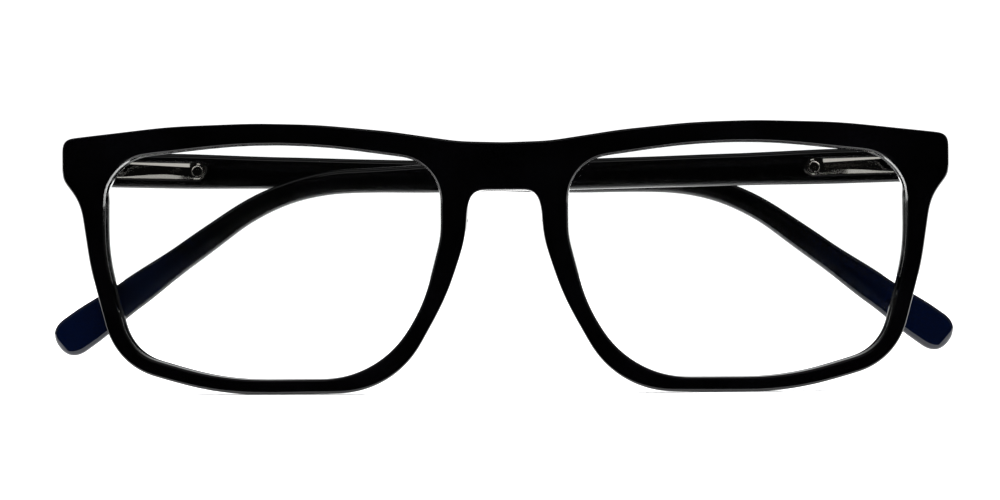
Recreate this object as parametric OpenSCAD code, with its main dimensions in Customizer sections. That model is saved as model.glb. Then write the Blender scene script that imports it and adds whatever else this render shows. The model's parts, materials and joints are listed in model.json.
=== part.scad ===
// Eyeglasses frame: acetate front and temples, spring hinges, demo lenses.
// X runs to the wearer's left, Y from the front towards the head, Z up. "right" is the wearer's right.
// Origin: middle of the bridge's front face, on the centre line of the lenses.

/* [Front] */
// Radius of the front's wrap
wrap_r = 320; // [300:5:340]
// Thickness of the front
front_t = 4; // [3.8:0.1:4.2]
// Half of the front's width
half_w = 69.4; // [69.2:0.1:69.6]
// Depth from the bridge's face to the flat backs of the endpieces
endpiece_d = 12; // [11.9:0.05:12.1]

/* [Lenses] */
// Lens thickness
lens_t = 1.5; // [1.2:0.1:1.6]
// Depth of the lens edge in its groove
lens_bite = 0.75; // [0.6:0.05:0.8]

/* [Temples] */
// Length from hinge screw to the middle of the bend
straight_l = 98.8; // [98:0.2:99.4]
// Length from the middle of the bend to the tip
hook_l = 44.2; // [43.2:0.2:45]
// Angle of the bend
bend_a = 34; // [33:0.2:35]
// Radius of the bend's centre line
bend_r = 35; // [30:1:40]
// Thickness of a temple
temple_t = 3.4; // [3.3:0.05:3.5]
// Downward slope of a temple from its hinge
temple_slope = 1.4; // [1:0.1:1.6]

/* [Hinges] */
// Height of the hinges above the lens centre line
hinge_z = 14.9; // [14.8:0.1:15.1]
// Lean of the hinge screws towards the head
hinge_lean = 1; // [0.5:0.25:1.25]
// Radius of the hinge knuckles
knuckle_r = 1.5; // [1.4:0.05:1.5]
// How far the left temple is folded past square
left_fold = 2; // [1.8:0.1:2.2]
// How far the right temple is short of square
right_fold = 1.9; // [1.8:0.1:2]

/* [Hidden] */
$fn = 64;
over = 1;               // how far a cutter runs past what it cuts
gap = 0.05;             // clearance between pieces that only meet
run = 0.05;             // radial clearance of a running fit
arc_step = 7;           // most degrees between two points of a rounded corner
knuckle_gap = 1.7;      // from the hinge screw to the temple's inner face and to the plate
hinge_x = half_w - temple_t - knuckle_gap;
hinge_y = endpiece_d + knuckle_gap;
screw_r = 0.7;
screw_head_r = 1.15;
screw_head_t = 0.5;
mid_h = 1.6;            // height of the slider's knuckle
hinge_h = 4.3;          // height of the hinge
plate_t = 1.1;
plate_h = 5.2;
plate_w = 4.6;
plate_in = 0.7;         // from the hinge screw to the plate's inner end
block_x = 61;           // where an endpiece's block starts
block_z = 12;
lens_in = 1.2;          // from the front's face to the lens
case_mouth = 2.8;       // distances along the temple from the hinge screw
case_end = 15.5;        // middle of its round end
case_h = 2.5;
case_top = knuckle_gap - 0.2;
case_d = 2.4;
case_mid = case_top + case_d / 2;
bore_r = 0.95;
dimple_r = 0.85;        // round dimple in the case's end
dimple_d = 0.25;
plug_l = 1.2;
rod_r = 0.45;
stop_l = 1.2;
stop_at = case_end - 0.8 - stop_l - 0.9;
pocket_play = 0.08;
pocket_end = case_end + 0.07;
wire_r = 0.6;
wire_from = case_end + 3;
wire_steps = 8;         // stretches in the wire's bend
wire_sides = 16;
wire_to = straight_l + hook_l - 8;
spring_wire_r = 0.16;
spring_mean_r = 0.7;
spring_turns = 10;
spring_sides = 8;
spring_steps = 12;
bend_t = bend_r * tan(bend_a / 2);

// Half outline of the front, [x, z, corner radius], from the top centre round to the bridge.
front_half = [
    [0, 18.4, 0], [7, 18.6, 30], [18, 20.25, 60], [29, 21.35, 90], [39, 21.65, 90], [52.3, 21.3, 90],
    [half_w, 19.5, 1.2], [half_w, 13.2, 0.8], [66.6, 9.6, 9], [65.1, -0.5, 40], [61, -16, 11],
    [44.2, -20.7, 50], [17.3, -20.3, 15], [8.95, -5.4, 40], [5.95, 3.8, 20], [5.8, 8, 6], [5, 11, 1.8],
    [0, 11, 0]
];
// Left lens opening, [x, z, corner radius], from the upper nasal corner round over the top.
opening = [
    [9.85, 15.5, 7], [29, 18.2, 100], [41.1, 18.45, 90], [62.9, 16.2, 7.5], [63, 1.2, 30],
    [59, -14, 8], [44.1, -18.3, 45], [19.7, -18.2, 16], [12.6, -6.7, 25], [9.85, 3.9, 12]
];
// Temple: [distance along it, height], read along the centre line.
temple_h = [
    [-4, 5.6], [12, 5.6], [30, 5.1], [44, 4.9], [74, 4.6], [88, 3.9], [100, 3.5], [106, 3.6], [118, 4.1],
    [129, 5.1], [138, 6.2]
];
tip_l = 3.4;            // length of the rounded tip
tip_power = 2.4;        // 2 for an ellipse, more for a squarer tip

function unit(v) = v / norm(v);
function left_of(v) = [-v[1], v[0]];
function corner(p) = [p[0], p[1]];
function wrap(i, n) = (i + n) % n;

// Corner of radius r at b, between a and c.
function rounded_corner(a, b, c, r) =
    let(
        u = unit(a - b),
        v = unit(c - b),
        half = acos(u * v) / 2,
        hub = b + unit(u + v) * r / sin(half),
        first = unit(b + u * r / tan(half) - hub),
        last = unit(b + v * r / tan(half) - hub),
        side = unit(last - first * (first * last)),
        turn = acos(first * last),
        steps = max(2, ceil(turn / arc_step))
    )
    [for (i = [0:steps]) hub + r * (cos(turn * i / steps) * first + sin(turn * i / steps) * side)];

// Closed outline with its corners rounded.
function rounded(p) =
    let(n = len(p))
    [for (i = [0:n - 1])
        each p[i][2] == 0
            ? [corner(p[i])]
            : rounded_corner(corner(p[wrap(i - 1, n)]), corner(p[i]), corner(p[wrap(i + 1, n)]), p[i][2])];

// Clockwise outline moved outwards by d, its corner radii growing with it.
function grown(p, d) =
    let(n = len(p))
    [for (i = [0:n - 1])
        let(
            a = corner(p[wrap(i - 1, n)]),
            b = corner(p[i]),
            c = corner(p[wrap(i + 1, n)]),
            m = left_of(unit(b - a)),
            k = left_of(unit(c - b)),
            q = b + (m + k) * d / (1 + m * k)
        )
        [q[0], q[1], p[i][2] + d]];

function mirrored(p) = [for (i = [len(p) - 2:-1:1]) [-p[i][0], p[i][1], p[i][2]]];
function smooth(t) = t * t * (3 - 2 * t);

// Height of the temple at distance s.
function height_at(s, i = 0) =
    i >= len(temple_h) - 2 || s < temple_h[i + 1][0]
        ? let(t = min(1, max(0, (s - temple_h[i][0]) / (temple_h[i + 1][0] - temple_h[i][0]))))
            temple_h[i][1] + smooth(t) * (temple_h[i + 1][1] - temple_h[i][1])
        : height_at(s, i + 1);

// Narrowing of the temple at its rounded tip.
function tip_factor(s) =
    let(t = max(0, (s - (straight_l + hook_l - tip_l)) / tip_l))
    pow(max(0, 1 - pow(t, tip_power)), 1 / tip_power);

// Place and direction angle of the temple's centre line at distance s.
bend_from = straight_l - bend_t;
bend_l = bend_r * bend_a * PI / 180;
function angle_at(s) = min(bend_a, max(0, (s - bend_from) / bend_l * bend_a));
function centre_at(s) =
    s <= bend_from ? [s, 0]
    : let(a = angle_at(s), rest = max(0, s - bend_from - bend_l))
        [bend_from + bend_r * sin(a) + rest * cos(a), -bend_r * (1 - cos(a)) - rest * sin(a)];
// The bend's arc is shorter than its two tangents, so the hook is that much longer along the line.
bend_loss = 2 * bend_t - bend_l;
temple_end = straight_l + hook_l - bend_loss;
function edge_at(s, side) =
    let(a = angle_at(s), h = height_at(s) / 2 * tip_factor(s + bend_loss))
    centre_at(s) + side * h * [sin(a), cos(a)];
temple_stops = concat(
    [for (s = [-4:8:bend_from - 4]) s],
    [for (s = [bend_from:4:bend_from + bend_l + 12]) s],
    [for (s = [bend_from + bend_l + 15:4:temple_end - tip_l - 2]) s],
    [for (a = [0:12:84]) temple_end - tip_l + tip_l * sin(a)]
);
temple_outline = concat(
    [for (s = temple_stops) edge_at(s, 1)],
    [centre_at(temple_end)],
    [for (i = [len(temple_stops) - 1:-1:0]) edge_at(temple_stops[i], -1)]
);

// Faces of a closed tube whose rings have n points each, the last ring being number last.
function tube_faces(last, n) = concat(
    [for (i = [0:last - 1]) for (j = [0:n - 1])
        let(a = i * n + j, b = i * n + (j + 1) % n)
        each [[a, a + n, b + n], [a, b + n, b]]],
    [[for (j = [0:n - 1]) j]],
    [[for (j = [n - 1:-1:0]) last * n + j]]
);

// Solid with an (x, z) outline, from y = a to y = b.
module prism(points, a, b) {
    translate([0, b, 0]) rotate([90, 0, 0]) linear_extrude(b - a) polygon(points);
}

// Solid cylinder of the wrap, at a depth behind the front's face.
module wrapped(depth) {
    translate([0, wrap_r, -40]) cylinder(r = wrap_r - depth, h = 80, $fn = 360);
}

// Draws its children on the left as modelled, or mirrored on the right.
module on_side(side) {
    if (side > 0) children();
    else mirror([1, 0, 0]) children();
}

module lens_seat(grow, from, to) {
    difference() {
        intersection() {
            prism(rounded(grown(opening, grow)), -over, endpiece_d);
            wrapped(from);
        }
        wrapped(to);
    }
}

module hinge_recess() {
    translate([hinge_x - plate_in - gap, endpiece_d - plate_t - gap, hinge_z - plate_h / 2 - gap])
        cube([plate_w + 2 * gap, plate_t + gap + over, plate_h + 2 * gap]);
    translate([hinge_x + 0.2 - gap, endpiece_d - plate_t - 1.3 - gap, hinge_z - 1.2 - gap])
        cube([2.6 + 2 * gap, 2, 2.4 + 2 * gap]);
}

module front_frame() {
    color("#0a0b10")
    difference() {
        intersection() {
            prism(rounded(concat(front_half, mirrored(front_half))), -over, endpiece_d);
            wrapped(0);
        }
        difference() {
            wrapped(front_t);
            for (side = [-1, 1]) on_side(side)
                translate([block_x, 0, block_z]) cube([20, 30, 20]);
        }
        for (side = [-1, 1]) on_side(side) {
            prism(rounded(opening), -2 * over, endpiece_d + over);
            lens_seat(lens_bite + gap, lens_in - gap, lens_in + lens_t + gap);
            hinge_recess();
        }
    }
}

module lens() {
    color("#e8f0f2", 0.3)
    lens_seat(lens_bite, lens_in, lens_in + lens_t);
}

// Drop-shaped pad behind the nasal rim; its front follows the rim's back.
module nose_pad() {
    color("#0a0b10")
    intersection() {
        hull($fn = 32) {
            translate([7.4, front_t, 6.1]) sphere(1.3, $fn = 32);
            translate([10.9, front_t, -5.4]) sphere(1.1, $fn = 32);
            translate([7.05, 5.3, 6.3]) sphere(1.35, $fn = 32);
            translate([8.8, 7.0, 0.6]) sphere(1.75, $fn = 32);
            translate([10.7, 6.1, -5.2]) sphere(1.35, $fn = 32);
        }
        wrapped(front_t + gap);
    }
}

// Frame of a hinge: its screw stands along Z at the origin.
module at_hinge() {
    translate([hinge_x, hinge_y, hinge_z]) rotate([-hinge_lean, 0, 0]) children();
}

// Frame of a left temple at rest: its length along Y, its inner face towards -X.
module along_temple(fold) {
    at_hinge() rotate([0, 0, 90 + fold]) children();
}

module sloped() {
    rotate([-temple_slope, 0, 0]) children();
}

module hinge_plate() {
    color("#b9b6ae")
    difference() {
        union() {
            translate([hinge_x - plate_in, endpiece_d - plate_t, hinge_z - plate_h / 2])
                cube([plate_w, plate_t, plate_h]);
            translate([hinge_x + 0.2, endpiece_d - plate_t - 1.3, hinge_z - 1.2]) cube([2.6, 1.4, 2.4]);
            at_hinge() for (z = [-hinge_h / 2, mid_h / 2 + gap]) {
                translate([0, 0, z]) cylinder(r = knuckle_r, h = (hinge_h - mid_h) / 2 - gap);
                translate([-plate_in, -knuckle_gap - 0.5, z])
                    cube([knuckle_r + plate_in, knuckle_gap + 0.5, (hinge_h - mid_h) / 2 - gap]);
            }
        }
        at_hinge() {
            translate([0, 0, -hinge_h / 2 - over]) cylinder(r = screw_r + 0.02, h = hinge_h + 2 * over);
            translate([0, 0, hinge_h / 2 - screw_head_t]) cylinder(r = screw_head_r + run, h = over);
        }
    }
}

module hinge_screw() {
    color("#c9c7c1")
    at_hinge()
    difference() {
        union() {
            translate([0, 0, -hinge_h / 2]) cylinder(r = screw_r, h = hinge_h - screw_head_t + 0.1);
            translate([0, 0, hinge_h / 2 - screw_head_t + 0.02]) cylinder(r = screw_head_r, h = screw_head_t);
        }
        translate([-2, -0.15, hinge_h / 2 - 0.22]) cube([4, 0.3, over]);
    }
}

module spring_slider(fold) {
    color("#b9b6ae")
    along_temple(fold)
    difference() {
        union() {
            translate([0, 0, -mid_h / 2]) cylinder(r = knuckle_r, h = mid_h);
            translate([0, 0.2, -mid_h / 2]) cube([case_mid + 0.6, 2.3, mid_h]);
            sloped() translate([case_mid, 1.5, 0]) rotate([-90, 0, 0]) cylinder(r = rod_r, h = stop_at - 1.5);
        }
        translate([0, 0, -mid_h]) cylinder(r = screw_r + run, h = 2 * mid_h);
    }
}

module slider_stop(fold) {
    color("#c9c7c1")
    along_temple(fold) sloped() translate([case_mid, stop_at + 0.01, 0]) rotate([-90, 0, 0]) {
        cylinder(r = bore_r - 0.1, h = stop_l);
    }
}

// Round bar of radius r along the middle of a temple, from distance a to distance b.
module wire_path(r, a, b) {
    stops = concat([a], [for (t = [0:wire_steps]) bend_from + bend_l * t / wire_steps], [b]);
    turn = 360 / wire_sides;
    points = [for (s = stops) for (j = [0:wire_sides - 1])
        let(c = centre_at(s), up = r * cos(turn * j), lean = angle_at(s))
        [knuckle_gap + temple_t / 2 + r * sin(turn * j), c[0] + up * sin(lean), c[1] + up * cos(lean)]];
    last = len(stops) - 1;
    polyhedron(points, tube_faces(last, wire_sides));
}

module temple(fold) {
    color("#0a0b10")
    along_temple(fold)
    difference() {
        sloped()
        difference() {
            translate([knuckle_gap, 0, 0]) rotate([90, 0, 90]) linear_extrude(temple_t) polygon(temple_outline);
            translate([knuckle_gap - over, -5, -case_h / 2 - pocket_play])
                cube([case_d - 0.2 + over + gap, pocket_end + 5, case_h + 2 * pocket_play]);
            translate([knuckle_gap - over, pocket_end, 0]) rotate([0, 90, 0])
                cylinder(r = case_h / 2 + pocket_play, h = case_d - 0.2 + over + gap);
            wire_path(wire_r + gap / 2, wire_from - gap, wire_to + gap);
        }
        rotate([hinge_lean, 0, 0]) translate([0, -knuckle_gap + gap - 10, -10]) cube([20, 10, 20]);
    }
}

module core_wire(fold) {
    color("#9c9a94")
    along_temple(fold) sloped() wire_path(wire_r, wire_from, wire_to);
}

module spring_case(fold) {
    color("#b9b6ae")
    along_temple(fold) sloped()
    difference() {
        union() {
            translate([case_top, case_mouth, -case_h / 2]) cube([case_d, case_end - case_mouth, case_h]);
            translate([case_top, case_end, 0]) rotate([0, 90, 0]) cylinder(r = case_h / 2, h = case_d);
        }
        translate([case_mid, case_mouth - over, 0]) rotate([-90, 0, 0])
            cylinder(r = bore_r, h = case_end - 0.8 - case_mouth + over);
        translate([case_top - over, case_end, 0]) rotate([0, 90, 0])
            cylinder(r = dimple_r, h = over + dimple_d);
    }
}

module case_plug(fold) {
    color("#c9c7c1")
    along_temple(fold) sloped() translate([case_mid, case_mouth, 0]) rotate([-90, 0, 0])
    difference() {
        cylinder(r = bore_r - 0.02, h = plug_l);
        translate([0, 0, -over]) cylinder(r = rod_r + run, h = plug_l + 2 * over);
    }
}

module spring(fold) {
    from = case_mouth + plug_l + spring_wire_r + 0.02;
    to = stop_at - spring_wire_r - 0.02;
    rings = spring_turns * spring_steps;
    points = [for (i = [0:rings]) for (j = [0:spring_sides - 1])
        let(turn = 360 / spring_steps * i, r = spring_mean_r + spring_wire_r * cos(360 / spring_sides * j))
        [r * cos(turn), r * sin(turn),
            from + (to - from) * i / rings + spring_wire_r * sin(360 / spring_sides * j)]];
    color("#8f9094")
    along_temple(fold) sloped() translate([case_mid, 0, 0]) rotate([-90, 0, 0])
        polyhedron(points, tube_faces(rings, spring_sides));
}

front_frame();
on_side(-1) lens();  // right_lens
on_side(1) lens();  // left_lens
on_side(-1) nose_pad();  // right_nose_pad
on_side(1) nose_pad();  // left_nose_pad
on_side(-1) hinge_plate();  // right_hinge_plate
on_side(1) hinge_plate();  // left_hinge_plate
on_side(-1) hinge_screw();  // right_hinge_screw
on_side(1) hinge_screw();  // left_hinge_screw
on_side(-1) spring_slider(-right_fold);  // right_spring_slider
on_side(1) spring_slider(left_fold);  // left_spring_slider
on_side(-1) slider_stop(-right_fold);  // right_slider_stop
on_side(1) slider_stop(left_fold);  // left_slider_stop
on_side(-1) temple(-right_fold);  // right_temple
on_side(1) temple(left_fold);  // left_temple
on_side(-1) core_wire(-right_fold);  // right_core_wire
on_side(1) core_wire(left_fold);  // left_core_wire
on_side(-1) spring_case(-right_fold);  // right_spring_case
on_side(1) spring_case(left_fold);  // left_spring_case
on_side(-1) case_plug(-right_fold);  // right_case_plug
on_side(1) case_plug(left_fold);  // left_case_plug
on_side(-1) spring(-right_fold);  // right_spring
on_side(1) spring(left_fold);  // left_spring
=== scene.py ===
import json
import math

import bmesh
import bpy
import numpy as np
from mathutils import Matrix, Vector
from mathutils.geometry import delaunay_2d_cdt


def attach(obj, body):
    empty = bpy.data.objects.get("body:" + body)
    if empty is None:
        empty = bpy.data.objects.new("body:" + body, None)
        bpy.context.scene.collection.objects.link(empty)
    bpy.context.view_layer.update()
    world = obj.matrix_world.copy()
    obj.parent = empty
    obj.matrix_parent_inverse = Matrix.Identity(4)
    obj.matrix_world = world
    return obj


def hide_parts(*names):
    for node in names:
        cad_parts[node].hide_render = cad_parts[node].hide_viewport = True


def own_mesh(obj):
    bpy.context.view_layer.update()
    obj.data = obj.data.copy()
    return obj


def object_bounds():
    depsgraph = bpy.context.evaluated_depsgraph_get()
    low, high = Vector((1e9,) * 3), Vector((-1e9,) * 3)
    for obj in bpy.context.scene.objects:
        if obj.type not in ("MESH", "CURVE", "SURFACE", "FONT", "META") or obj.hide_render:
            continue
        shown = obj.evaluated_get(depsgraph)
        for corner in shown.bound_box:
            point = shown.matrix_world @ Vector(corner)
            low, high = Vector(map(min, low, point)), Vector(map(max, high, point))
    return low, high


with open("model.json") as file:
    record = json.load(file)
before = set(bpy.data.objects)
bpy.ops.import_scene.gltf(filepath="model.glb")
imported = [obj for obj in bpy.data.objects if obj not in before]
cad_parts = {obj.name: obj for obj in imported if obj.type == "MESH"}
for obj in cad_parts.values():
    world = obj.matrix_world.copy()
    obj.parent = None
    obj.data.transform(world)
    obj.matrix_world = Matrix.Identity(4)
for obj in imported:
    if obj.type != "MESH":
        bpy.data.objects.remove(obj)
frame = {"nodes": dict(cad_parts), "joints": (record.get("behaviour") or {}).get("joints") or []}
CAD_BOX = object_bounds()

MM = 0.001

# Driving dimensions of the frame, in millimetres and degrees, as in the CAD.
WRAP_R = 320.0          # radius of the front's wrap, about a vertical line behind it
FRONT_T = 4.0           # thickness of the rims
HALF_W = 69.4
BLOCK_BACK = 12.0       # flat backs of the endpieces
LENS_IN = 1.2           # from the front's face to the lens
LENS_T = 1.5
LENS_BITE = 0.75        # depth of the lens groove
STRAIGHT_L = 98.8       # hinge screw to the middle of a temple's bend
HOOK_L = 44.2
BEND_A = 34.0
BEND_R = 35.0
TEMPLE_T = 3.4
TEMPLE_SLOPE = 1.4
HINGE_Z = 14.9
HINGE_LEAN = 1.0
KNUCKLE_GAP = 1.7       # hinge screw to the temple's inner face, and to the endpiece's back
FOLD = {"left": 2.0, "right": -1.9}     # how far each temple is folded past square
SIDE = {"left": 1, "right": -1}
CASE_MOUTH = 2.8
CASE_END = 15.5         # middle of its round end
CASE_H = 2.5
CASE_D = 2.4
CASE_PROUD = 0.2
FACET_RISE = 0.45       # slope of the facets along its long edges
TIP_L = 3.4
TIP_POWER = 2.4

HINGE_X = HALF_W - TEMPLE_T - KNUCKLE_GAP
HINGE_Y = BLOCK_BACK + KNUCKLE_GAP

# Outlines: [x, z, corner radius]. Half of the front from the top centre round to the bridge, and
# the left lens opening from its upper nasal corner over the top.
FRONT_HALF = [
    (0, 18.4, 0), (7, 18.6, 30), (18, 20.25, 60), (29, 21.35, 90), (39, 21.65, 90), (52.3, 21.3, 90),
    (HALF_W, 19.5, 1.2), (HALF_W, 13.2, 0.8), (66.6, 9.6, 9), (65.1, -0.5, 40), (61, -16, 11),
    (44.2, -20.7, 50), (17.3, -20.3, 15), (8.95, -5.4, 40), (5.95, 3.8, 20), (5.8, 8, 6),
    (5, 11, 1.8), (0, 11, 0),
]
OPENING = [
    (9.85, 15.5, 7), (29, 18.2, 100), (41.1, 18.45, 90), (62.9, 16.2, 7.5), (63, 1.2, 30),
    (59, -14, 8), (44.1, -18.3, 45), (19.7, -18.2, 16), (12.6, -6.7, 25), (9.85, 3.9, 12),
]
# Temple heights: [distance along it, height].
TEMPLE_H = [
    (-4, 5.6), (12, 5.6), (30, 5.1), (44, 4.9), (74, 4.6), (88, 3.9), (100, 3.5), (106, 3.6),
    (118, 4.1), (129, 5.1), (138, 6.2),
]

# Looks of the edges, in millimetres.
EDGE_R = 0.4            # polished outer edges of the front
OPENING_R = 0.35        # edges of the lens openings
DRAFT = 0.1             # how much an opening narrows from its front edge to the lens
TEMPLE_EDGE_R = 1.0
SUPPORT = 0.1           # flat kept beside each rounding
STEP = 0.5              # spacing of the points along an outline
GRID = 1.0              # spacing of the points inside a face
INSIDE = 1              # triangulates only inside the outer loop
GROOVE_GAP = 0.02       # room between a lens and its groove
BLOCK_X, BLOCK_Z = (61.6, 62.6), (11.2, 12.2)       # where a rim's back turns into an endpiece's
SQUARE_X, SQUARE_Z = (61.0, 64.0), (9.5, 12.5)      # where the cut edges stop leaning with the wrap
TEMPLE_START = -KNUCKLE_GAP + 0.1                   # a temple's front end, along it from the hinge
SOFT_END_L, SOFT_END = 0.35, 0.3                    # length and depth of its softened end
THINNED, THIN_FROM = 0.35, 60                       # how much a temple thins on each side, and from where
LEAST = 0.02            # smallest half size of a section at the tip
POCKET_GAP = 0.05       # room round the spring case
PAST_HINGE = -6.0       # end of the pocket, beyond the temple's end
CASE_STEPS = 24         # stretches along the case
DIMPLE_STEPS = 36       # points round the dimple
LENS_EDGE = 0.3         # width of the lens's flat border


def smoothstep(low, high, value):
    t = np.clip((value - low) / (high - low), 0.0, 1.0)
    return t * t * (3 - 2 * t)


# ---------------------------------------------------------------- outlines

def unit(v):
    return v / np.linalg.norm(v)


def corner_arc(a, b, c, radius):
    """Points of the arc that rounds the corner b between a and c."""
    u, v = unit(a - b), unit(c - b)
    half = math.acos(np.clip(u @ v, -1, 1)) / 2
    hub = b + unit(u + v) * radius / math.sin(half)
    first = unit(b + u * radius / math.tan(half) - hub)
    last = unit(b + v * radius / math.tan(half) - hub)
    side = unit(last - first * (first @ last))
    turn = math.acos(np.clip(first @ last, -1, 1))
    steps = max(3, math.ceil(math.degrees(turn) / 4))
    return [hub + radius * (math.cos(turn * i / steps) * first + math.sin(turn * i / steps) * side)
            for i in range(steps + 1)]


def rounded(corners):
    """The closed outline with its corners rounded."""
    points, count = [], len(corners)
    for i, (x, z, radius) in enumerate(corners):
        before, here, after = (np.array(corners[k % count][:2], float) for k in (i - 1, i, i + 1))
        points += [here] if radius == 0 else corner_arc(before, here, after, radius)
    return np.array(points)


def resampled(points, step):
    """A closed outline at even spacing."""
    closed = np.vstack([points, points[:1]])
    along = np.concatenate([[0], np.cumsum(np.linalg.norm(np.diff(closed, axis=0), axis=1))])
    count = round(along[-1] / step)
    at = np.linspace(0, along[-1], count, endpoint=False)
    return np.stack([np.interp(at, along, closed[:, k]) for k in (0, 1)], axis=1)


def softened(points, passes):
    """A closed outline with the steps in its curvature smoothed out."""
    for _ in range(passes):
        points = 0.25 * np.roll(points, 1, axis=0) + 0.5 * points + 0.25 * np.roll(points, -1, axis=0)
    return points


def counter_clockwise(points):
    x, z = points[:, 0], points[:, 1]
    area = np.sum(x * np.roll(z, -1) - np.roll(x, -1) * z)
    return points if area > 0 else points[::-1]


def outward(points):
    """Unit normals that point out of a counter-clockwise outline."""
    along = np.roll(points, -1, axis=0) - np.roll(points, 1, axis=0)
    along /= np.linalg.norm(along, axis=1)[:, None]
    return np.stack([along[:, 1], -along[:, 0]], axis=1)


def outline(corners, step=STEP):
    return counter_clockwise(softened(resampled(rounded(corners), step), 4))


def mirrored(corners):
    return [(-x, z, radius) for x, z, radius in corners]


def inside(points, polygon):
    """Which points lie inside a closed polygon."""
    x, z = points[:, 0][:, None], points[:, 1][:, None]
    x1, z1 = polygon[:, 0][None], polygon[:, 1][None]
    x2, z2 = np.roll(polygon, -1, axis=0)[:, 0][None], np.roll(polygon, -1, axis=0)[:, 1][None]
    crosses = (z1 > z) != (z2 > z)
    with np.errstate(divide="ignore", invalid="ignore"):
        at = x1 + (z - z1) * (x2 - x1) / (z2 - z1)
    return (np.sum(crosses & (x < at), axis=1) % 2) == 1


# ---------------------------------------------------------------- meshes

def skin(bm, rings):
    """Joins closed rings of vertices, each to the next, with quads."""
    for a, b in zip(rings, rings[1:]):
        for i in range(len(a)):
            k = (i + 1) % len(a)
            bm.faces.new((a[i], a[k], b[k], b[i]))


# ---------------------------------------------------------------- the wrapped front

def wrap_y(x, depth):
    """How far back the wrapped surface lies at x, at a depth behind the front's face."""
    return WRAP_R - np.sqrt((WRAP_R - depth) ** 2 - x ** 2)


def block_share(x, z):
    """1 on the flat back of an endpiece's block, 0 on the rims."""
    return smoothstep(*BLOCK_X, np.abs(x)) * smoothstep(*BLOCK_Z, z)


def front_point(flat, depth, from_back=None):
    """Points of the front, at a depth behind its face, or at a height above its back."""
    x, z = flat[:, 0], flat[:, 1]
    block = block_share(x, z)
    if from_back is not None:
        back = wrap_y(x, FRONT_T) * (1 - block) + (BLOCK_BACK - 0.02) * block
        y = back - from_back
        depth = np.full(len(x), FRONT_T - from_back)
    else:
        y = wrap_y(x, depth)
    # The cut edges stand square to the wrapped face, except on the blocks.
    square = 1 - smoothstep(*SQUARE_X, np.abs(x)) * smoothstep(*SQUARE_Z, z)
    lean = x * square * depth / WRAP_R
    if from_back is not None:
        y = y - (wrap_y(x, FRONT_T) - wrap_y(x - lean, FRONT_T)) * (1 - block)
    else:
        y = y - (wrap_y(x, depth) - wrap_y(x - lean, depth))
    return np.stack([x - lean, y, z], axis=1) * MM


def edge_profile(radius, groove):
    """(inset, depth from the face, height above the back) of an edge, from the face to the back."""
    quarter = [math.radians(a) for a in (0, 15, 30, 45, 60, 75, 90)]
    front = [(radius * (1 - math.sin(a)), radius * (1 - math.cos(a)), None) for a in quarter]
    if groove:
        # The lens openings are broken with a small flat, a little rounded at both sides.
        front = [(radius * inset, radius * depth, None)
                 for inset, depth in ((1, 0), (0.86, 0.05), (0.74, 0.15), (0.15, 0.74), (0.05, 0.86), (0, 1))]
    back = [(radius * (1 - math.sin(a)), None, radius * (1 - math.cos(a))) for a in reversed(quarter)]
    middle = [(0, radius + SUPPORT, None)]
    if groove:
        middle += [
            (-DRAFT, LENS_IN - GROOVE_GAP - SUPPORT, None),
            (-DRAFT, LENS_IN - GROOVE_GAP, None),
            (LENS_BITE, LENS_IN + LENS_T * 0.4, None),
            (LENS_BITE, LENS_IN + LENS_T * 0.6, None),
            (-DRAFT, LENS_IN + LENS_T + GROOVE_GAP, None),
            (-DRAFT, LENS_IN + LENS_T + GROOVE_GAP + SUPPORT, None),
        ]
    middle += [(0, None, radius + SUPPORT)]
    # The flat just inside each rounding keeps its shading from spreading over the face.
    flat_front, flat_back = (radius + SUPPORT, 0.0, None), (radius + SUPPORT, None, 0.0)
    return [flat_front] + front + middle + back + [flat_back]


def edge_strip(bm, loop, radius, groove, into):
    """Rings of vertices round one edge of the front; `into` is +1 where the material is inside."""
    normal = outward(loop) * into
    rings = []
    for inset, depth, height in edge_profile(radius, groove):
        flat = loop - normal * inset
        places = front_point(flat, 0.0 if depth is None else depth, height)
        rings.append([bm.verts.new(p) for p in places])
    skin(bm, rings)
    return loop - normal * (radius + SUPPORT)


def face_points(loops):
    """Even points inside the outer loop and outside the others, clear of their edges."""
    low, high = loops[0].min(axis=0), loops[0].max(axis=0)
    rows = []
    for j, z in enumerate(np.arange(low[1], high[1], GRID * 0.87)):
        x = np.arange(low[0] + (j % 2) * GRID / 2, high[0], GRID)
        rows.append(np.stack([x, np.full(len(x), z)], axis=1))
    points = np.vstack(rows)
    keep = inside(points, loops[0])
    for hole in loops[1:]:
        keep &= ~inside(points, hole)
    points = points[keep]
    edge = np.vstack(loops)
    near = np.array([np.min(np.sum((edge - p) ** 2, axis=1)) for p in points])
    return points[near > (0.6 * GRID) ** 2]


def face_sheet(bm, loops, back):
    """One face of the front, a fine net of triangles between its outer loop and its holes."""
    inner = face_points(loops)
    edges, owner = [], []
    for number, loop in enumerate(loops):
        start, count = len(owner), len(loop)
        edges += [(start + i, start + (i + 1) % count) for i in range(count)]
        owner += [number] * count
    owner += [-1] * len(inner)
    points = [Vector(p) for p in np.vstack(loops + [inner])]
    verts, _, faces, *_ = delaunay_2d_cdt(points, edges, [], INSIDE, 1e-6)
    places = front_point(np.array([v[:] for v in verts]), 0.0, 0.0 if back else None)
    made = [bm.verts.new(p) for p in places]
    for face in faces:
        # A hole holds no points, so the triangles across it join points of its own loop.
        owners = {owner[i] for i in face}
        if len(owners) > 1 or max(owners) < 1:
            bm.faces.new([made[i] for i in face])


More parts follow.
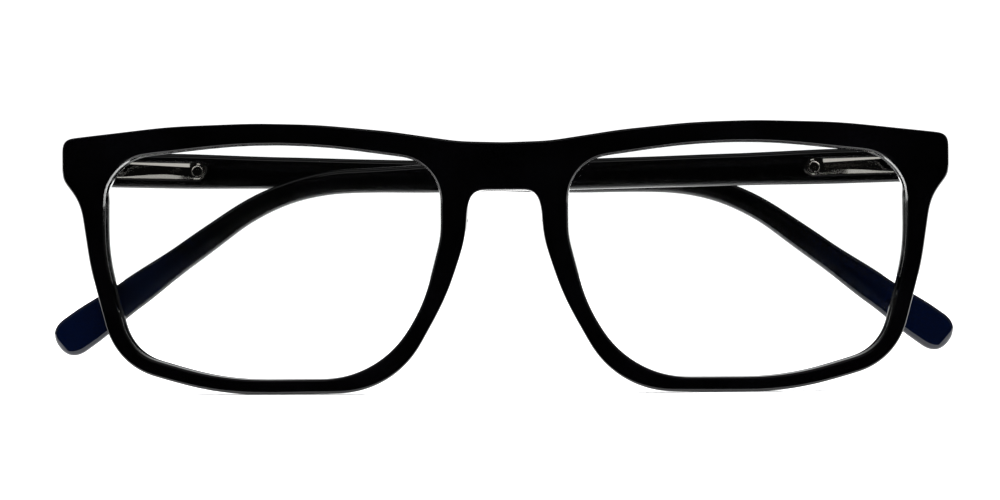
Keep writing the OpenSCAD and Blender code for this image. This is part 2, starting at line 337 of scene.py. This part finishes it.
def finished_mesh(bm, name, sharp=60):
    """Closes a mesh's seams and makes an object of it, smooth but for its sharp edges."""
    bmesh.ops.remove_doubles(bm, verts=bm.verts, dist=2e-7)
    loose = [v for v in bm.verts if not v.link_faces]
    bmesh.ops.delete(bm, geom=loose, context="VERTS")
    bmesh.ops.recalc_face_normals(bm, faces=bm.faces)
    for face in bm.faces:
        face.smooth = True
    limit = math.radians(sharp)
    for edge in bm.edges:
        edge.smooth = not (len(edge.link_faces) == 2 and edge.calc_face_angle(0) > limit)
    mesh = bpy.data.meshes.new(name)
    bm.to_mesh(mesh)
    bm.free()
    piece = bpy.data.objects.new(name, mesh)
    bpy.context.scene.collection.objects.link(piece)
    return piece


def make_front():
    outer = outline(FRONT_HALF + mirrored(FRONT_HALF)[-2:0:-1])
    openings = [outline(OPENING), outline(mirrored(OPENING))]
    bm = bmesh.new()
    loops = [edge_strip(bm, outer, EDGE_R, False, 1)]
    loops += [edge_strip(bm, hole, OPENING_R, True, -1) for hole in openings]
    face_sheet(bm, loops, back=False)
    face_sheet(bm, loops, back=True)
    return finished_mesh(bm, "front_acetate")


# ---------------------------------------------------------------- lenses

def make_lens(side):
    """A lens with a bevelled edge that sits in the groove."""
    corners = OPENING if side == "left" else mirrored(OPENING)
    loop = outline(corners)
    normal = outward(loop)
    bm = bmesh.new()
    rings = []
    for grow, depth in ((-LENS_EDGE, 0.0), (0.0, 0.08), (LENS_BITE - 0.05, 0.62), (LENS_BITE - 0.05, 0.88),
                        (0.0, 1.42), (-LENS_EDGE, LENS_T)):
        places = front_point(loop + normal * grow, LENS_IN + depth)
        rings.append([bm.verts.new(p) for p in places])
    skin(bm, rings)
    rim = loop - normal * LENS_EDGE
    inner = face_points([rim])
    for depth in (LENS_IN, LENS_IN + LENS_T):
        flat = np.vstack([rim, inner])
        edges = [(i, (i + 1) % len(rim)) for i in range(len(rim))]
        verts, _, faces, *_ = delaunay_2d_cdt([Vector(p) for p in flat], edges, [], INSIDE, 1e-6)
        places = front_point(np.array([v[:] for v in verts]), depth)
        made = [bm.verts.new(p) for p in places]
        for face in faces:
            bm.faces.new([made[i] for i in face])
    return finished_mesh(bm, f"{side}_lens_clear")


# ---------------------------------------------------------------- temples

BEND_T = BEND_R * math.tan(math.radians(BEND_A / 2))
BEND_FROM = STRAIGHT_L - BEND_T
BEND_L = BEND_R * math.radians(BEND_A)
BEND_LOSS = 2 * BEND_T - BEND_L
TEMPLE_END = STRAIGHT_L + HOOK_L - BEND_LOSS


def centre_at(s):
    """Place and angle of a temple's centre line at distance s, in its own (y, z) plane."""
    if s <= BEND_FROM:
        return np.array([s, 0.0]), 0.0
    a = min(BEND_A, (s - BEND_FROM) / BEND_L * BEND_A)
    rest = max(0.0, s - BEND_FROM - BEND_L)
    turn = math.radians(a)
    place = np.array([
        BEND_FROM + BEND_R * math.sin(turn) + rest * math.cos(turn),
        -BEND_R * (1 - math.cos(turn)) - rest * math.sin(turn),
    ])
    return place, turn


def height_at(s):
    for (s0, h0), (s1, h1) in zip(TEMPLE_H, TEMPLE_H[1:]):
        if s < s1:
            return float(h0 + smoothstep(s0, s1, s) * (h1 - h0))
    return TEMPLE_H[-1][1]


def tip_factor(s, length=TIP_L):
    t = max(0.0, (s - (TEMPLE_END - length)) / length)
    return max(0.0, 1 - t ** TIP_POWER) ** (1 / TIP_POWER)


def temple_matrix(side):
    """From a left temple's own frame, its hinge screw at the origin, to the folded rest place."""
    place = (
        Matrix.Translation(Vector((HINGE_X, HINGE_Y, HINGE_Z)) * MM)
        @ Matrix.Rotation(math.radians(-HINGE_LEAN), 4, "X")
        @ Matrix.Rotation(math.radians(90 + FOLD[side]), 4, "Z")
        @ Matrix.Rotation(math.radians(-TEMPLE_SLOPE), 4, "X")
    )
    return (Matrix.Scale(SIDE[side], 4, Vector((1, 0, 0)))) @ place


def section(half_h, half_t, radius):
    """A rounded rectangle, (x, z) about its middle, with points along its flats."""
    radius = min(radius, half_h * 0.98, half_t * 0.98)
    points = []
    for corner, (sx, sz) in enumerate(((1, 1), (-1, 1), (-1, -1), (1, -1))):
        for k in range(6):
            a = math.radians(90 * corner + 18 * k)
            points.append((sx * (half_t - radius) + radius * math.cos(a),
                           sz * (half_h - radius) + radius * math.sin(a)))
    return points


def temple_stations():
    near = [TEMPLE_START + d for d in (0.0, 0.08, 0.2, SOFT_END_L)]
    middle = list(np.arange(0.0, TEMPLE_END - TIP_L, 1.5))
    tip = [TEMPLE_END - TIP_L + TIP_L * math.sin(math.radians(a)) for a in range(0, 90, 6)]
    return near + middle + tip + [TEMPLE_END - 0.003]


def make_temple(side):
    """A temple lofted along its centre line, its edges rounded and its front end softened."""
    bm = bmesh.new()
    rings = []
    for s in temple_stations():
        place, turn = centre_at(s)
        factor = tip_factor(s)
        edge = smoothstep(TEMPLE_START, TEMPLE_START + SOFT_END_L, s)
        shrink = SOFT_END * (1 - math.sqrt(max(0.0, 1 - (1 - edge) ** 2)))
        half_h = max(LEAST, height_at(s + BEND_LOSS) / 2 * factor - shrink)
        thick = TEMPLE_T / 2 - shrink
        thick -= THINNED * smoothstep(THIN_FROM, TEMPLE_END, s)
        thick = max(LEAST, thick * tip_factor(s, 1.2))
        x0 = KNUCKLE_GAP + TEMPLE_T / 2
        ring = []
        for x, z in section(half_h, thick, TEMPLE_EDGE_R):
            ring.append(bm.verts.new((
                (x0 + x) * MM,
                (place[0] + z * math.sin(turn)) * MM,
                (place[1] + z * math.cos(turn)) * MM,
            )))
        rings.append(ring)
    skin(bm, rings)
    bm.faces.new(rings[0])
    bm.faces.new(rings[-1])
    bmesh.ops.transform(bm, matrix=temple_matrix(side), verts=bm.verts)
    return finished_mesh(bm, f"{side}_temple_acetate", 40)


def slot_cutter(side):
    """The pocket for the spring case: a slot with a round end, open at the hinge."""
    half, end = CASE_H / 2 + POCKET_GAP, CASE_END
    points = [(PAST_HINGE, -half), (end, -half)]
    points += [(end + half * math.sin(math.radians(a)), -half * math.cos(math.radians(a)))
               for a in range(10, 180, 10)]
    points += [(end, half), (PAST_HINGE, half)]
    bm = bmesh.new()
    low = [bm.verts.new(((KNUCKLE_GAP - 1) * MM, y * MM, z * MM)) for y, z in points]
    high = [bm.verts.new(((KNUCKLE_GAP + CASE_D - CASE_PROUD + POCKET_GAP) * MM, y * MM, z * MM))
            for y, z in points]
    bm.faces.new(low)
    bm.faces.new(high)
    skin(bm, [low, high])
    bmesh.ops.transform(bm, matrix=temple_matrix(side), verts=bm.verts)
    return finished_mesh(bm, f"{side}_slot_cutter")


def cut(piece, cutter):
    """Cuts one piece with another, which is then deleted."""
    step = piece.modifiers.new("cut", "BOOLEAN")
    step.operation, step.solver, step.object = "DIFFERENCE", "EXACT", cutter
    graph = bpy.context.evaluated_depsgraph_get()
    mesh = bpy.data.meshes.new_from_object(piece.evaluated_get(graph))
    piece.modifiers.clear()
    piece.data = mesh
    bpy.data.objects.remove(cutter)


def make_case(side):
    """A spring case: a bar with crowned long edges and a round, dimpled end, set in its pocket."""
    half, face, foot = CASE_H / 2, -CASE_PROUD, CASE_D - CASE_PROUD
    length = CASE_END - CASE_MOUTH
    places = [CASE_MOUTH + length * k / CASE_STEPS for k in range(CASE_STEPS + 1)]
    round_end = [math.radians(a) for a in range(-80, 81, 10)]
    edge = [(s, -half, 0.0, -1.0) for s in places]
    edge += [(CASE_END + half * math.cos(a), half * math.sin(a), math.cos(a), math.sin(a)) for a in round_end]
    edge += [(s, half, 0.0, 1.0) for s in reversed(places)]
    bm = bmesh.new()

    def facet(s, up):
        """Width of the bright facet: a wedge along the top, a lens along the bottom."""
        t = min(1.0, (s - CASE_MOUTH) / length)
        top = 0.22 + 0.46 * t * (1 - smoothstep(0.9, 1.0, t)) - 0.08 * smoothstep(0.9, 1.0, t)
        bottom = 0.16 + 0.52 * max(0.0, math.sin(math.pi * t ** 1.3)) ** 1.2
        return bottom + (top - bottom) * (up + 1) / 2

    def ring(share, x=None, inset=0.0):
        """The case's outline, a share of the way up its facet, or at a distance x from the temple's face."""
        row = []
        for s, z, across, up in edge:
            width = facet(s, up)
            inward = inset + share * width
            depth = face + (1 - share) * width * FACET_RISE if x is None else x
            row.append(bm.verts.new(((KNUCKLE_GAP + depth) * MM, (s - across * inward) * MM,
                                     (z - up * inward) * MM)))
        return row

    rings = [ring(0, foot), ring(0, face + 0.45), ring(0.04), ring(0.12), ring(0.88), ring(0.96), ring(1),
             ring(1, face, 0.05)]
    skin(bm, rings)
    bm.faces.new(rings[0])

    # The flat face, with the dimple's rings in its round end.
    dimple = []
    for r, x in ((0.90, 0.0), (0.86, 0.02), (0.80, 0.14), (0.74, 0.17), (0.70, 0.17)):
        dimple.append([bm.verts.new(((KNUCKLE_GAP + face + x) * MM, (CASE_END + r * math.cos(a)) * MM,
                                     r * math.sin(a) * MM))
                       for a in (math.radians(360 / DIMPLE_STEPS * k) for k in range(DIMPLE_STEPS))])
    skin(bm, dimple)
    bm.faces.new(dimple[-1])
    edges = [e for e in bm.edges if e.is_boundary]
    bmesh.ops.triangle_fill(bm, edges=edges, use_beauty=True)
    bmesh.ops.transform(bm, matrix=temple_matrix(side), verts=bm.verts)
    return finished_mesh(bm, f"{side}_case_polished", 50)


def make_nose_pad(side):
    """A moulded pad: a drop-shaped swelling that grows out of the back of the nasal rim."""
    swellings = (((7.4, FRONT_T - 0.6, 5.9), 1.3), ((10.9, FRONT_T - 0.6, -5.6), 1.1),
                 ((7.05, 5.3, 6.3), 1.35), ((8.8, 7.0, 0.6), 1.75), ((10.7, 6.1, -5.2), 1.35))
    bm = bmesh.new()
    for place, radius in swellings:
        where = Matrix.Translation(Vector(place) * MM)
        bmesh.ops.create_icosphere(bm, subdivisions=4, radius=radius * MM, matrix=where)
    result = bmesh.ops.convex_hull(bm, input=bm.verts)
    spare = {v for v in result["geom_interior"] if isinstance(v, bmesh.types.BMVert)}
    bmesh.ops.delete(bm, geom=[v for v in bm.verts if v in spare or not v.link_faces], context="VERTS")
    if side == "right":
        bmesh.ops.scale(bm, vec=(-1, 1, 1), verts=bm.verts)
    pad = finished_mesh(bm, f"{side}_pad_acetate")
    remesh = pad.modifiers.new("even", "REMESH")
    remesh.mode, remesh.voxel_size, remesh.use_smooth_shade = "VOXEL", 0.22 * MM, True
    smooth = pad.modifiers.new("polish", "SMOOTH")
    smooth.factor, smooth.iterations = 0.5, 14
    graph = bpy.context.evaluated_depsgraph_get()
    mesh = bpy.data.meshes.new_from_object(pad.evaluated_get(graph))
    pad.modifiers.clear()
    pad.data = mesh
    return pad


# ---------------------------------------------------------------- materials

class Nodes:
    """A material's node tree, with short calls for what the finishes share."""

    def __init__(self, name):
        self.material = bpy.data.materials.new(name)
        self.material.use_nodes = True
        self.tree = self.material.node_tree
        self.tree.nodes.clear()
        self.output = self.add("ShaderNodeOutputMaterial")

    def add(self, kind, **settings):
        node = self.tree.nodes.new(kind)
        for key, value in settings.items():
            setattr(node, key, value)
        return node

    def link(self, source, target):
        self.tree.links.new(source, target)

    def place(self, scale=(1, 1, 1)):
        where = self.add("ShaderNodeTexCoord")
        mapping = self.add("ShaderNodeMapping")
        mapping.inputs["Scale"].default_value = scale
        self.link(where.outputs["Object"], mapping.inputs["Vector"])
        return mapping.outputs["Vector"]

    def noise(self, scale, detail=3.0, stretch=(1, 1, 1)):
        node = self.add("ShaderNodeTexNoise")
        node.inputs["Scale"].default_value = scale
        node.inputs["Detail"].default_value = detail
        self.link(self.place(stretch), node.inputs["Vector"])
        return node.outputs["Fac"]

    def ramp(self, source, stops):
        node = self.add("ShaderNodeValToRGB")
        elements = node.color_ramp.elements
        while len(elements) < len(stops):
            elements.new(0.5)
        for element, (position, colour) in zip(elements, stops):
            element.position = position
            element.color = (*colour, 1.0)
        self.link(source, node.inputs["Fac"])
        return node.outputs["Color"]

    def spread(self, source, low, high):
        node = self.add("ShaderNodeMapRange")
        node.inputs["To Min"].default_value = low
        node.inputs["To Max"].default_value = high
        self.link(source, node.inputs["Value"])
        return node.outputs["Result"]

    def bump(self, source, strength, distance):
        node = self.add("ShaderNodeBump")
        node.inputs["Strength"].default_value = strength
        node.inputs["Distance"].default_value = distance
        self.link(source, node.inputs["Height"])
        return node.outputs["Normal"]


def acetate(name, tip=None):
    """Polished black acetate. At the given end of a temple's length, navy light is painted into the tip's
    colour; the acetate itself is black.
    """
    nodes = Nodes(name)
    shader = nodes.add("ShaderNodeBsdfPrincipled")
    shader.inputs["IOR"].default_value = 1.48
    cloud = nodes.noise(90.0, 4.0)
    black = nodes.ramp(cloud, [(0.35, (0.0002, 0.0002, 0.0003)), (0.7, (0.0005, 0.0005, 0.0008))])
    colour = black
    if tip is not None:
        where = nodes.add("ShaderNodeTexCoord")
        split = nodes.add("ShaderNodeSeparateXYZ")
        nodes.link(where.outputs["Generated"], split.inputs[0])
        along = nodes.add("ShaderNodeMapRange", interpolation_type="SMOOTHSTEP")
        along.inputs["From Min"].default_value = 0.22 if tip == 0 else 0.78
        along.inputs["From Max"].default_value = 0.02 if tip == 0 else 0.98
        nodes.link(split.outputs["X"], along.inputs["Value"])
        mix = nodes.add("ShaderNodeMix", data_type="RGBA")
        # Painted light: the navy on the tip is light painted into the colour, not the acetate's own.
        mix.inputs["B"].default_value = (0.0002, 0.0011, 0.0062, 1)
        nodes.link(along.outputs["Result"], mix.inputs["Factor"])
        nodes.link(black, mix.inputs["A"])
        colour = mix.outputs["Result"]
    nodes.link(colour, shader.inputs["Base Color"])
    nodes.link(nodes.spread(nodes.noise(420.0, 5.0), 0.05, 0.12), shader.inputs["Roughness"])
    nodes.link(nodes.bump(nodes.noise(160.0, 2.0), 0.05, 0.0001), shader.inputs["Normal"])
    nodes.link(shader.outputs[0], nodes.output.inputs["Surface"])
    return nodes.material


def metal(name, dark, light, rough, scale, stretch, depth):
    """Drawn or satin metal, with its grain along the piece."""
    nodes = Nodes(name)
    shader = nodes.add("ShaderNodeBsdfPrincipled")
    shader.inputs["Metallic"].default_value = 1.0
    grain = nodes.noise(scale, 4.0, stretch)
    nodes.link(nodes.ramp(grain, [(0.3, dark), (0.75, light)]), shader.inputs["Base Color"])
    nodes.link(nodes.spread(grain, *rough), shader.inputs["Roughness"])
    if depth > 0:
        nodes.link(nodes.bump(grain, depth, 0.00005), shader.inputs["Normal"])
    nodes.link(shader.outputs[0], nodes.output.inputs["Surface"])
    return nodes.material


def clear_lens():
    """Clear polished lens: see-through, with a little gloss that grows towards grazing."""
    nodes = Nodes("clear_lens")
    clear = nodes.add("ShaderNodeBsdfTransparent")
    clear.inputs["Color"].default_value = (0.985, 0.992, 0.99, 1)
    gloss = nodes.add("ShaderNodeBsdfGlossy")
    nodes.link(nodes.spread(nodes.noise(60.0, 3.0), 0.01, 0.03), gloss.inputs["Roughness"])
    facing = nodes.add("ShaderNodeLayerWeight")
    facing.inputs["Blend"].default_value = 0.5
    steep = nodes.add("ShaderNodeMath", operation="POWER")
    steep.inputs[1].default_value = 5.0
    nodes.link(facing.outputs["Facing"], steep.inputs[0])
    mix = nodes.add("ShaderNodeMixShader")
    nodes.link(nodes.spread(steep.outputs[0], 0.025, 0.9), mix.inputs["Fac"])
    nodes.link(clear.outputs[0], mix.inputs[1])
    nodes.link(gloss.outputs[0], mix.inputs[2])
    nodes.link(mix.outputs[0], nodes.output.inputs["Surface"])
    return nodes.material


def dress(piece, material):
    piece.data.materials.clear()
    piece.data.materials.append(material)


def dress_node(name, material):
    """Gives a CAD node that stays its finish."""
    node = frame["nodes"][name]
    for place in node.material_slots:
        place.material = material


def make_spring(side):
    """The coil spring, and how it closes up: its end at the plug stays, and the stop presses on the other."""
    wire = bpy.data.objects.new(f"{side}_spring_wire", frame["nodes"][f"{side}_spring"].data.copy())
    bpy.context.scene.collection.objects.link(wire)
    joint = next(j for j in frame["joints"] if j["name"] == f"{side}_spring_travel")
    along = Vector(joint["axis"])
    reach = [along.dot(v.co) for v in wire.data.vertices]
    keep = 1 - joint["range_m"][1] / (max(reach) - min(reach))
    return wire, joint["name"], along, along * min(reach), keep


# ---------------------------------------------------------------- stage

def soft_light(name, place, size, power, target=(0, 0, 0)):
    data = bpy.data.lights.new(name, "AREA")
    data.shape, data.size, data.size_y, data.energy = "RECTANGLE", size[0], size[1], power
    light = bpy.data.objects.new(name, data)
    light.location = place
    light.rotation_euler = (Vector(target) - Vector(place)).to_track_quat("-Z", "Y").to_euler()
    bpy.context.scene.collection.objects.link(light)


def make_world():
    """White surroundings, whose mirror image is dark on the camera's side of the frame."""
    world = bpy.data.worlds.new("studio")
    bpy.context.scene.world = world
    world.use_nodes = True
    tree = world.node_tree
    tree.nodes.clear()
    add, link = tree.nodes.new, tree.links.new

    def backdrop(strength):
        node = add("ShaderNodeBackground")
        node.inputs["Color"].default_value = (1, 1, 1, 1)
        node.inputs["Strength"].default_value = strength
        return node

    where = add("ShaderNodeTexCoord")
    split = add("ShaderNodeSeparateXYZ")
    link(where.outputs["Generated"], split.inputs[0])
    shade = add("ShaderNodeValToRGB")
    elements = shade.color_ramp.elements
    while len(elements) < 6:
        elements.new(0.5)
    # From the camera's side round to the backdrop: dark, a band at the sides, dark, white.
    for element, (y, value) in zip(elements, ((-0.25, 0.003), (-0.10, 0.4), (0.15, 0.4), (0.35, 0.02),
                                              (0.86, 0.02), (0.97, 1.0))):
        element.position = (y + 1) / 2
        element.color = (value, value, value, 1)
    side = add("ShaderNodeMapRange")
    side.inputs["From Min"].default_value = -1.0
    link(split.outputs["Y"], side.inputs["Value"])
    link(side.outputs["Result"], shade.inputs["Fac"])
    mirror_image = backdrop(1.0)
    link(shade.outputs["Color"], mirror_image.inputs["Color"])
    path = add("ShaderNodeLightPath")
    surface = mirror_image
    for kind, node in (("Is Diffuse Ray", backdrop(3.0)), ("Is Camera Ray", backdrop(1.2))):
        mix = add("ShaderNodeMixShader")
        link(path.outputs[kind], mix.inputs["Fac"])
        link(surface.outputs[0], mix.inputs[1])
        link(node.outputs[0], mix.inputs[2])
        surface = mix
    output = add("ShaderNodeOutputWorld")
    link(surface.outputs[0], output.inputs["Surface"])


def make_stage():
    bpy.context.scene.view_settings.view_transform = "Standard"
    floor_z = CAD_BOX[0][2]
    mesh = bpy.data.meshes.new("floor")
    reach, near = 3.0, -0.002
    mesh.from_pydata([(x, y, floor_z) for x, y in ((-reach, near), (reach, near), (reach, reach),
                                                   (-reach, reach))], [], [(0, 1, 2, 3)])
    floor = bpy.data.objects.new("floor", mesh)
    bpy.context.scene.collection.objects.link(floor)
    nodes = Nodes("floor_paper")
    shader = nodes.add("ShaderNodeBsdfDiffuse")
    nodes.link(nodes.ramp(nodes.noise(4.0), [(0.3, (0.93, 0.93, 0.93)), (0.7, (0.95, 0.95, 0.95))]),
               shader.inputs["Color"])
    nodes.link(shader.outputs[0], nodes.output.inputs["Surface"])
    dress(floor, nodes.material)
    make_world()
    soft_light("above", (0.0, -0.58, 0.74), (0.38, 0.30), 0.26)
    soft_light("below", (0.0, -0.58, -0.74), (0.38, 0.30), 0.20)


CAMERA_AT = Vector((0.0113, -0.700, 0.0017))
AIM_X = -0.0007         # where the view's middle meets the front's face
VIEW_W = 0.1548         # width of the view at the front's face
ROLL = 0.4              # degrees


def make_camera():
    data = bpy.data.cameras.new("camera")
    data.sensor_width = 36.0
    data.lens = data.sensor_width * -CAMERA_AT.y / VIEW_W
    data.clip_start, data.clip_end = 0.01, 20
    camera = bpy.data.objects.new("camera", data)
    turn = math.atan((CAMERA_AT.x - AIM_X) / -CAMERA_AT.y)
    camera.matrix_world = (Matrix.Translation(CAMERA_AT) @ Matrix.Rotation(turn, 4, "Z")
                           @ Matrix.Rotation(math.radians(90), 4, "X")
                           @ Matrix.Rotation(math.radians(-ROLL), 4, "Z"))
    bpy.context.scene.collection.objects.link(camera)
    bpy.context.scene.camera = camera


# ---------------------------------------------------------------- the model

make_camera()
make_stage()

black = acetate("black_acetate")
# The temples' tips carry navy light painted into their colour.
lit_tips = {"left": acetate("left_temple_painted_tip_light", tip=0), "right": acetate("right_temple_painted_tip_light", tip=1)}
nickel = metal("nickel_silver", (0.52, 0.50, 0.47), (0.80, 0.77, 0.72), (0.12, 0.28),
               900.0, (0.2, 1, 1), 0.15)
polished = metal("case_polished", (0.62, 0.59, 0.55), (0.70, 0.67, 0.62), (0.05, 0.10),
                 200.0, (0.1, 1, 1), 0.0)
steel = metal("screw_steel", (0.55, 0.55, 0.55), (0.78, 0.78, 0.77), (0.12, 0.26), 700.0, (1, 1, 0.2), 0.1)
spring_steel = metal("spring_wire", (0.30, 0.30, 0.31), (0.50, 0.50, 0.51), (0.2, 0.35),
                     1500.0, (1, 1, 1), 0.1)
wire = metal("core_wire_drawn", (0.45, 0.43, 0.40), (0.62, 0.60, 0.55), (0.2, 0.35),
             900.0, (0.1, 1, 1), 0.15)
glass = clear_lens()

front = make_front()
dress(front, black)
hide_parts("front_frame")
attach(front, "front")

for side in ("right", "left"):
    lens = make_lens(side)
    dress(lens, glass)
    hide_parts(f"{side}_lens")
    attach(lens, "front")

    temple = make_temple(side)
    cut(temple, slot_cutter(side))
    dress(temple, lit_tips[side])
    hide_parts(f"{side}_temple")
    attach(temple, f"{side}_arm")

    case = make_case(side)
    dress(case, polished)
    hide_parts(f"{side}_spring_case")
    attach(case, f"{side}_arm")

    pad = make_nose_pad(side)
    dress(pad, black)
    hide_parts(f"{side}_nose_pad")
    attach(pad, "front")

    for part in ("hinge_plate", "spring_slider"):
        dress_node(f"{side}_{part}", nickel)
    for part in ("hinge_screw", "slider_stop", "case_plug"):
        dress_node(f"{side}_{part}", steel)
    spring, travel, along, plug_end, keep = make_spring(side)
    dress(spring, spring_steel)
    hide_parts(f"{side}_spring")
    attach(spring, f"{side}_arm")
    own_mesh(spring)
    dress_node(f"{side}_core_wire", wire)
